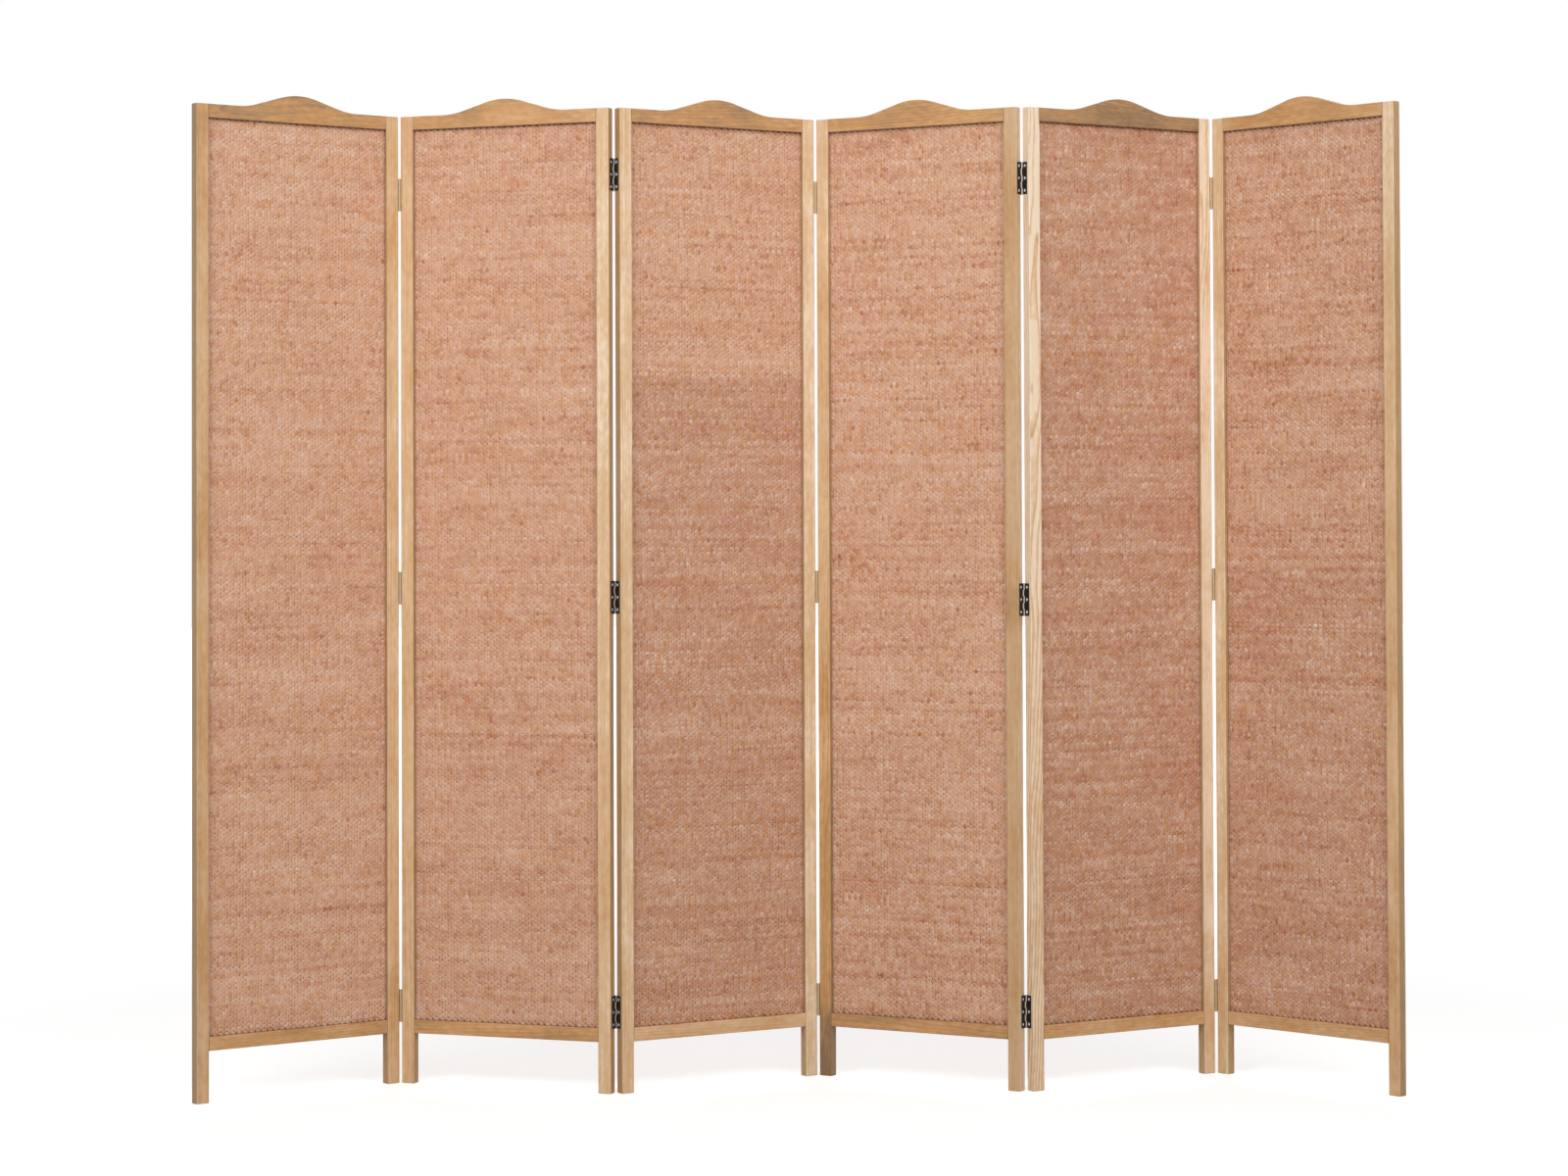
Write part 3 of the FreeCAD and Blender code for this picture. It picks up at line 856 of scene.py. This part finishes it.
def straight_strands(nodes, given, in_row):
    """One point for each crossing, gathered row by row into strands with a section."""
    index = nodes.get(0, "GeometryNodeInputIndex")
    row_number = nodes.math("FLOOR", index / in_row)
    crossing = index - row_number * in_row
    place = nodes.vector(crossing * given["upright_pitch"], 0, row_number * given["row_pitch"])
    points = nodes.get(0, "GeometryNodePoints", None, {"Count": in_row * given["rows"], "Position": place})
    points = nodes.store(points, ROW, row_number)
    points = nodes.store(points, CROSSING, crossing)
    sockets = {0: points, "Curve Group ID": nodes.stored(ROW), "Weight": nodes.stored(CROSSING)}
    strands = nodes.get(0, "GeometryNodePointsToCurves", None, sockets)

    sockets = {"Resolution": STRAND_SIDES, "Radius": 1.0}
    section = nodes.get(0, "GeometryNodeCurvePrimitiveCircle", None, sockets)
    section_x, section_y, _ = nodes.split(nodes.get(0, "GeometryNodeInputPosition"))
    section = nodes.store(section, SECTION_DEPTH, section_x)
    section = nodes.store(section, SECTION_HEIGHT, section_y)
    sockets = {"Curve": strands, "Profile Curve": section, "Fill Caps": True}
    return nodes.get(0, "GeometryNodeCurveToMesh", None, sockets)


def weave_strands(nodes, given, in_row, strands):
    """Swing each crossing to the front or to the back, and let it leave its line a little."""
    row_number = nodes.stored(ROW)
    crossing = nodes.stored(CROSSING)
    section_depth = nodes.stored(SECTION_DEPTH)
    ident = row_number * in_row + crossing
    side = 1 - ((row_number + crossing) % 2) * 2

    def draw(numbers, salt):
        """A random number from -1 to 1 for each crossing or row. Each salt gives other numbers."""
        return nodes.random_level(numbers, given["seed"] + salt)

    def smooth_wander(scales, salt):
        """A slow change from row to row and from crossing to crossing."""
        place = nodes.vector(crossing * scales[0], row_number * scales[1], given["seed"] + salt)
        return (nodes.noise(place, 1.0, 1.0) - 0.5) * given["wander"] * 2

    rough_depth = 1 + draw(ident, 0) * given["unevenness"] * DEPTH_UNEVENNESS_SHARE
    rough_height = 1 + (draw(ident, 1) + draw(row_number, 3) * ROW_UNEVENNESS_SHARE) * given["unevenness"]
    rough_height = nodes.math("MAXIMUM", rough_height, LEAST_HEIGHT_SHARE)
    slip = draw(ident, 2) * given["wander"] * SLIP_SHARE + smooth_wander(SWAY_SCALES, 0)
    jump = draw(row_number, 4) * ROW_WANDER_SHARE + draw(ident, 5) * CROSSING_WANDER_SHARE
    wave = smooth_wander(WAVE_SCALES, 0) + jump * given["wander"] + smooth_wander(CROWD_SCALES, 7)
    from_rail = nodes.math("MINIMUM", row_number + 1, given["rows"] - row_number)
    wave = wave * nodes.clamp(from_rail / CALM_ROWS)
    rise = nodes.stored(SECTION_HEIGHT) * given["strand_height"] * 0.5 * rough_height

    x = given["first_upright"] + crossing * given["upright_pitch"] + slip
    y = side * given["wave_depth"] * rough_depth + section_depth * given["strand_thickness"] * 0.5
    z = given["first_row"] + row_number * given["row_pitch"] + wave + rise
    woven = nodes.get(0, "GeometryNodeSetPosition", None, {0: strands, "Position": nodes.vector(x, y, z)})
    woven = nodes.store(woven, ALONG, crossing * given["upright_pitch"])
    woven = nodes.store(woven, ACROSS, rise)
    # The sunken side, on which the fibre material paints shade beside the rails and a little light elsewhere
    woven = nodes.store(woven, SUNKEN, side * section_depth * -1)
    return nodes.get(0, "GeometryNodeSetShadeSmooth", None, {0: woven, "Shade Smooth": False})


def upright_cords(nodes, given, in_row):
    """Upright cords, which stand between the strands."""
    radius = given["upright_thickness"] * 0.5
    sockets = {"Vertices": CORD_SIDES, "Radius": radius, "Depth": given["upright_length"]}
    cord = nodes.get(0, "GeometryNodeMeshCylinder", None, sockets)
    cord = nodes.store(cord, IS_CORD, 1.0)
    cord = nodes.get(0, "GeometryNodeSetShadeSmooth", None, {0: cord, "Shade Smooth": True})
    x = given["first_upright"] + nodes.get(0, "GeometryNodeInputIndex") * given["upright_pitch"]
    z = given["first_row"] + (given["rows"] - 1) * given["row_pitch"] * 0.5
    sockets = {"Count": in_row, "Position": nodes.vector(x, 0, z)}
    points = nodes.get(0, "GeometryNodePoints", None, sockets)
    return nodes.get(0, "GeometryNodeInstanceOnPoints", None, {0: points, "Instance": cord})


def weaving_tree():
    """Geometry nodes that weave one insert: level strands in front of and behind upright cords by turns."""
    tree = bpy.data.node_groups.new("Weaving", "GeometryNodeTree")
    for kind, names in WEAVING_INPUTS.items():
        for name in names:
            tree.interface.new_socket(name=name, in_out="INPUT", socket_type=kind)
    tree.interface.new_socket(name="Geometry", in_out="OUTPUT", socket_type="NodeSocketGeometry")
    nodes = Nodes(tree)
    group = nodes.add("NodeGroupInput")
    given = {name: Value(nodes, group.outputs[name]) for names in WEAVING_INPUTS.values() for name in names}
    in_row = given["segments"] + 1
    strands = straight_strands(nodes, given, in_row)
    woven = weave_strands(nodes, given, in_row, strands)
    cords = upright_cords(nodes, given, in_row)
    join = nodes.add("GeometryNodeJoinGeometry")
    for part in (woven, cords):
        tree.links.new(part.socket, join.inputs[0])

    # The flat weave is turned and carried to its frame
    turned = nodes.turn(nodes.get(0, "GeometryNodeInputPosition"), given["turn"])
    placed = nodes.get(0, "ShaderNodeVectorMath", {"operation": "ADD"}, {0: turned, 1: given["corner"]})
    whole = Value(nodes, join.outputs[0])
    whole = nodes.get(0, "GeometryNodeSetPosition", None, {0: whole, "Position": placed})
    whole = nodes.get(0, "GeometryNodeRealizeInstances", None, {0: whole})
    whole = nodes.get(0, "GeometryNodeSetMaterial", None, {0: whole, "Material": given["fibre"]})
    sockets = {0: whole, "Selection": nodes.stored(IS_CORD), "Material": given["cord"]}
    whole = nodes.get(0, "GeometryNodeSetMaterial", None, sockets)
    nodes.add("NodeGroupOutput", None, {0: whole})
    return tree


def bake_tree(name, tree, values):
    """Run a geometry tree on an empty mesh and return the result as a plain object."""
    holder = new_object(name + "_tree", bpy.data.meshes.new(name + "_start"))
    modifier = holder.modifiers.new("Tree", "NODES")
    modifier.node_group = tree
    for item in tree.interface.items_tree:
        if item.in_out == "INPUT":
            modifier[item.identifier] = values[item.name]
    bpy.context.view_layer.update()
    evaluated = holder.evaluated_get(bpy.context.evaluated_depsgraph_get())
    mesh = bpy.data.meshes.new_from_object(evaluated)
    mesh.name = name
    bpy.data.objects.remove(holder)
    for place in reversed(range(len(mesh.materials))):
        if mesh.materials[place] is None:
            mesh.materials.pop(index=place)
    if not mesh.polygons:
        raise RuntimeError(f"{name} came out empty")
    return new_object(name, mesh)


class FinishFrames(bpy.types.Operator):
    """Give every stile, rail and dowel its wood"""

    bl_idname = "folding_screen.finish_frames"
    bl_label = "Finish frames"

    def execute(self, context):
        for seed, name in enumerate(TIMBER, start=1):
            coat_node(name, wood_material(name, seed))
        beech = dowel_material()
        for number in range(1, PANEL_COUNT + 1):
            coat_node(f"panel_{number}_dowels", beech)
        return {"FINISHED"}


class WeaveInserts(bpy.types.Operator):
    """Weave the six inserts"""

    bl_idname = "folding_screen.weave_inserts"
    bl_label = "Weave inserts"

    def execute(self, context):
        sizes = context.scene.weave_sizes
        tree = weaving_tree()
        cord = upright_material()
        for number in range(1, PANEL_COUNT + 1):
            corner, turn, length, height = insert_place(number)
            segments = int((length - 2 * sizes.hidden_ends) / sizes.upright_pitch)
            rows = 1 + int((height - 2 * sizes.edge_rows) / sizes.row_pitch)
            values = {name: getattr(sizes, name) for name in WeaveSizes.__annotations__}
            values |= {
                "segments": segments,
                "rows": rows,
                "seed": sizes.seed + number,
                "first_upright": (length - segments * sizes.upright_pitch) / 2,
                "first_row": (height - (rows - 1) * sizes.row_pitch) / 2,
                "upright_length": height - sizes.hidden_ends,
                "corner": corner,
                "turn": turn,
                "fibre": fibre_material(number),
                "cord": cord,
            }
            weave = bake_tree(f"panel_{number}_weave", tree, values)
            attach(weave, f"panel_{number}")
            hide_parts(f"panel_{number}_woven_insert")
        return {"FINISHED"}


class FinishHinges(bpy.types.Operator):
    """Give the hinge leaves, pins and screws their metal"""

    bl_idname = "folding_screen.finish_hinges"
    bl_label = "Finish hinges"

    def execute(self, context):
        colours = context.scene.metal_colours
        # The pins take the pale painted reflection of the knuckles as their tint
        pin = bare_metal_material("hinge_pin_steel", colours.painted_knuckle_reflection, scratch_scale=900.0, metallic=0.6)
        # The screws: painted highlight in their near-white colour, with little metal
        zinc = bare_metal_material("screw_zinc", colours.zinc, scratch_scale=1500.0, metallic=0.1)
        for body, members in frame["record"]["behaviour"]["bodies"].items():
            bronze = bronze_material(int(body.split("_")[1]))
            for name in members:
                if name.endswith("leaves"):
                    coat_node(name, bronze)
        for name in frame["nodes"]:
            if name.endswith("pins"):
                coat_node(name, pin)
            elif name.endswith("screws"):
                coat_node(name, zinc)
        return {"FINISHED"}


class SetStage(bpy.types.Operator):
    """Lay the floor, hang the lights and place the camera"""

    bl_idname = "folding_screen.set_stage"
    bl_label = "Set stage"

    def execute(self, context):
        studio = context.scene.studio_sizes
        self.lay_floor(studio)
        self.light_world(context.scene, studio)
        self.hang_key_light("front_left_light", -studio.key_aside, studio)
        self.hang_key_light("front_right_light", studio.key_aside, studio)
        self.hang_back_light(studio)
        self.place_camera(context.scene, studio)
        context.scene.view_settings.view_transform = "Standard"
        return {"FINISHED"}

    def seen(self, nodes):
        """1 for rays that show what is behind: from the camera, off metal and through glass."""
        path = nodes.add("ShaderNodeLightPath")
        kinds = ("Is Camera Ray", "Is Glossy Ray", "Is Transmission Ray")
        camera, glossy, transmission = [Value(nodes, path.outputs[kind]) for kind in kinds]
        return nodes.clamp(camera + glossy + transmission)

    def lay_floor(self, studio):
        """A white floor that is a little darker near the screen, so that it keeps the shadow."""
        half = studio.floor_half
        mesh = bpy.data.meshes.new("floor")
        corners = [(-half, -half, 0), (half, -half, 0), (half, half, 0), (-half, half, 0)]
        mesh.from_pydata(corners, [], [(0, 1, 2, 3)])
        floor = new_object("floor", mesh)
        material, nodes = new_material("white_floor")
        grey = [studio.floor_grey] * 3
        diffuse = nodes.get(0, "ShaderNodeBsdfDiffuse", None, {"Color": solid(grey)})
        across, back, _ = nodes.split(nodes.get("Object", "ShaderNodeTexCoord"))
        distance = nodes.math("SQRT", across * across + back * back)
        far = nodes.step(distance, studio.white_from, studio.white_to)
        level = studio.floor_glow + far * (1 - studio.floor_glow)
        glow = nodes.get(0, "ShaderNodeEmission", None, {"Strength": self.seen(nodes) * level})
        both = nodes.add("ShaderNodeAddShader", None, {0: diffuse, 1: glow})
        nodes.add("ShaderNodeOutputMaterial", None, {"Surface": Value(nodes, both.outputs[0])})
        mesh.materials.append(material)

    def light_world(self, scene, studio):
        """An even light that shows as white."""
        world = bpy.data.worlds.new("white_studio")
        world.use_nodes = True
        world.node_tree.nodes.clear()
        nodes = Nodes(world.node_tree)
        strength = studio.ambient + self.seen(nodes) * (1 - studio.ambient)
        sockets = {"Color": solid((1, 1, 1)), "Strength": strength}
        background = nodes.get(0, "ShaderNodeBackground", None, sockets)
        nodes.add("ShaderNodeOutputWorld", None, {"Surface": background})
        scene.world = world

    def hang_light(self, name, kind, energy, place, aim):
        """Hang a light at a place and turn it the way of its aim."""
        lamp = bpy.data.lights.new(name, kind)
        lamp.energy = energy
        light = new_object(name, lamp)
        light.location = place
        light.rotation_euler = aim.to_track_quat("-Z", "Y").to_euler()
        return lamp

    def hang_key_light(self, name, aside, studio):
        """One of the two soft lights in front."""
        place = Vector((aside, -studio.key_distance, studio.key_height))
        aim = Vector((0, 0, studio.aim_height)) - place
        lamp = self.hang_light(name, "AREA", studio.key_power, place, aim)
        lamp.shape = "RECTANGLE"
        lamp.size = studio.key_width
        lamp.size_y = studio.key_depth

    def hang_back_light(self, studio):
        """One far wide light that is as strong everywhere."""
        place = Vector((0, studio.key_distance, studio.key_height))
        lamp = self.hang_light("back_light", "SUN", studio.back_level, place, Vector(studio.back_way))
        lamp.angle = studio.back_spread

    def place_camera(self, scene, studio):
        """The camera of the photograph."""
        data = bpy.data.cameras.new("photo_camera")
        data.lens = studio.lens
        data.shift_y = studio.shift
        data.clip_end = studio.view_distance
        camera = new_object("photo_camera", data)
        turn = Matrix.Rotation(studio.camera_yaw, 4, "Z")
        level_view = math.radians(90)
        tilt = Matrix.Rotation(level_view + studio.camera_tilt, 4, "X")
        roll = Matrix.Rotation(studio.camera_roll, 4, "Z")
        camera.matrix_world = Matrix.Translation(studio.camera_place) @ turn @ tilt @ roll
        scene.camera = camera


class ScreenPanel(bpy.types.Panel):
    """Lists the steps and sizes of the folding screen"""

    bl_idname = "VIEW3D_PT_folding_screen"
    bl_label = "Folding screen"
    bl_space_type = "VIEW_3D"
    bl_region_type = "UI"
    bl_category = "Folding screen"

    def draw(self, context):
        for operator in OPERATORS:
            self.layout.operator(operator.bl_idname)
        for holder in GROUPS:
            box = self.layout.box()
            for name in GROUPS[holder].__annotations__:
                box.prop(getattr(context.scene, holder), name)


GROUPS = {
    "weave_sizes": WeaveSizes,
    "fabric_colours": FabricColours,
    "wood_colours": WoodColours,
    "metal_colours": MetalColours,
    "studio_sizes": StudioSizes,
}
OPERATORS = (FinishFrames, WeaveInserts, FinishHinges, SetStage)


def register():
    for group in (*GROUPS.values(), *OPERATORS, ScreenPanel):
        bpy.utils.register_class(group)
    for holder, group in GROUPS.items():
        setattr(bpy.types.Scene, holder, PointerProperty(type=group))


def unregister():
    for holder in GROUPS:
        delattr(bpy.types.Scene, holder)
    for group in reversed((*GROUPS.values(), *OPERATORS, ScreenPanel)):
        bpy.utils.unregister_class(group)


def main():
    register()
    bpy.ops.folding_screen.finish_frames()
    bpy.ops.folding_screen.weave_inserts()
    bpy.ops.folding_screen.finish_hinges()
    bpy.ops.folding_screen.set_stage()


if __name__ == "__main__":
    main()
